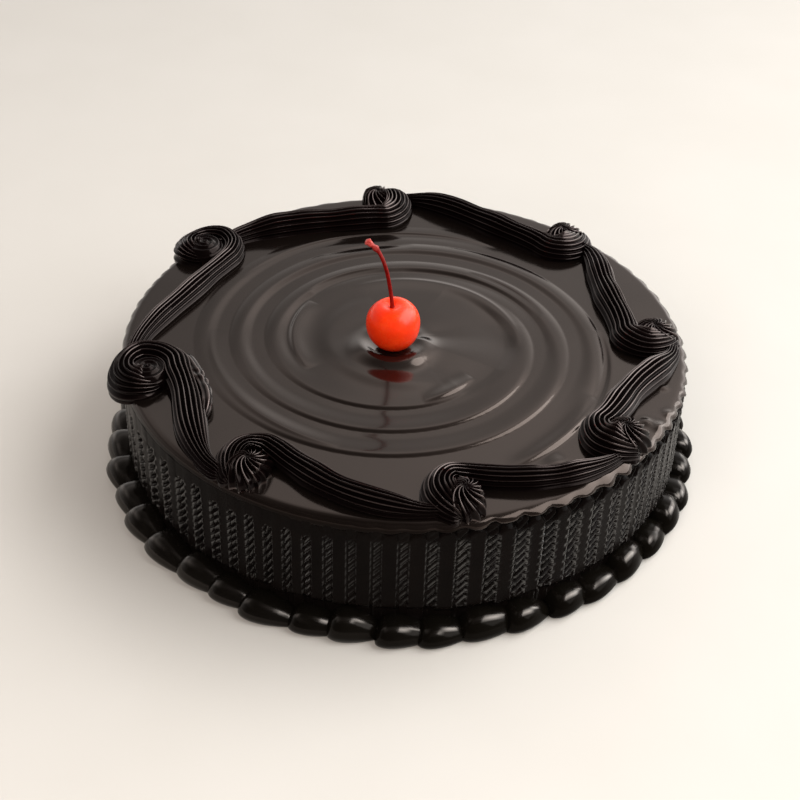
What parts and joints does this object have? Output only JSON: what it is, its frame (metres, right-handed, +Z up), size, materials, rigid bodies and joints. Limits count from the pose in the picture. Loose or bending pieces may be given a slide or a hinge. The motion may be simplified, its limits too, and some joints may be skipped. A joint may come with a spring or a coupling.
{
  "type": "chocolate cake",
  "caption": "Round glazed chocolate cake with a combed side, a rippled top, piped scrolls round the edge, a piped shell border at the foot and a stemmed cherry.",
  "frame": {"origin": "middle of the underside, on the surface that the cake stands on", "axes": "+Z up, -Y towards the side that the picture shows in front, +X to its right"},
  "size_m": [0.2326, 0.2326, 0.0972],
  "materials": {
    "chocolate_glaze": "glossy near-black chocolate glaze",
    "chocolate_piping": "glossy near-black piped chocolate icing",
    "cherry_flesh": "glossy translucent orange-red preserved cherry",
    "cherry_stalk": "satin dark red stalk"
  },
  "bodies": {
    "root": {"cake_body": "chocolate_glaze", "shell_border": "chocolate_piping", "scroll_1": "chocolate_piping", "scroll_2": "chocolate_piping", "scroll_3": "chocolate_piping", "scroll_4": "chocolate_piping", "scroll_5": "chocolate_piping", "scroll_6": "chocolate_piping", "scroll_7": "chocolate_piping", "scroll_8": "chocolate_piping", "cherry": "cherry_flesh", "cherry_stem": "cherry_stalk"}
  },
  "joints": []
}
